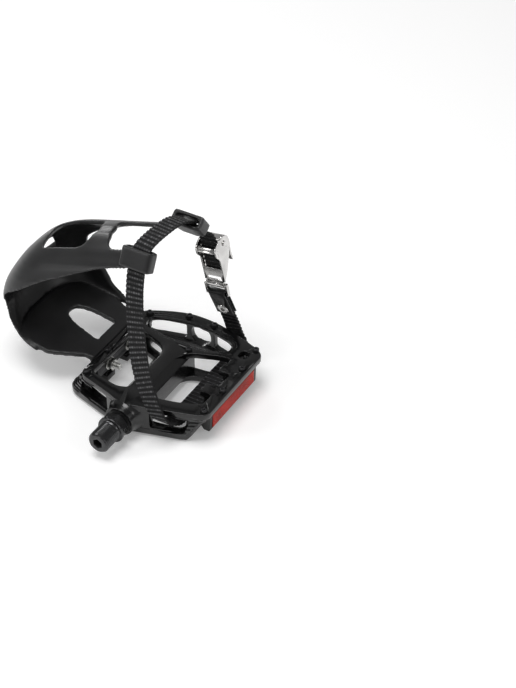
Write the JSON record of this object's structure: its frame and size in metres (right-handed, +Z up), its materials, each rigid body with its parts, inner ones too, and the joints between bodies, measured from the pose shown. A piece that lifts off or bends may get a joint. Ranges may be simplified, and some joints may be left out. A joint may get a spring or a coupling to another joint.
{
  "type": "bicycle pedal with toe clip",
  "caption": "Right-hand platform bicycle pedal with a threaded spindle, grip studs, rear reflector, moulded toe clip and a buckled webbing strap.",
  "frame": {"origin": "spindle axis at the face of the shoulder that seats against the crank arm", "axes": "+X outward along the spindle, away from the crank; +Y toward the toe; +Z up, normal to the treads"},
  "size_m": [0.1327, 0.1612, 0.1234],
  "materials": {
    "body_black": "black anodised, satin",
    "housing_black": "textured black plastic",
    "lens_red": "prismatic red-orange",
    "clip_nylon": "matte dark grey nylon",
    "dark_steel": "dark plated steel",
    "zinc": "bright zinc",
    "webbing": "black webbing with grey flecks",
    "vinyl": "smooth black vinyl",
    "chrome": "polished plate",
    "black_oxide": "black oxide",
    "seal_rubber": "matte",
    "bronze": "sintered",
    "bearing_steel": "ground"
  },
  "bodies": {
    "platform": {"pedal_body": "body_black", "top_studs": "body_black", "bottom_studs": "body_black", "reflector_housing": "housing_black", "reflector_lens": "lens_red", "toe_clip": "clip_nylon", "clamp_plate": "dark_steel", "clip_bolts": "zinc", "clip_washers": "zinc", "clip_nuts": "zinc", "strap": "webbing", "strap_tab": "vinyl", "tab_rivet": "chrome", "buckle_frame": "chrome", "buckle_bar": "chrome", "buckle_pin": "chrome", "buckle_ring": "dark_steel", "spindle_seal": "seal_rubber", "inner_bush": "bronze", "bearing_outer_race": "bearing_steel", "dust_cap": "housing_black"},
    "axle": {"spindle": "black_oxide", "bearing_inner_race": "bearing_steel", "bearing_balls": "bearing_steel", "lock_washer": "zinc", "locknut": "zinc"},
    "lever": {"buckle_lever": "chrome"}
  },
  "joints": [
    {"name": "spindle_spin", "type": "hinge", "parent": "platform", "child": "axle", "pos_m": [0, 0, 0], "axis": [1, 0, 0], "continuous": true},
    {"name": "buckle_release", "type": "hinge", "parent": "platform", "child": "lever", "pos_m": [0.10993, -0.00874, 0.07601], "axis": [-0.0109, -0.9877, 0.156], "range_deg": [0, 90]}
  ]
}
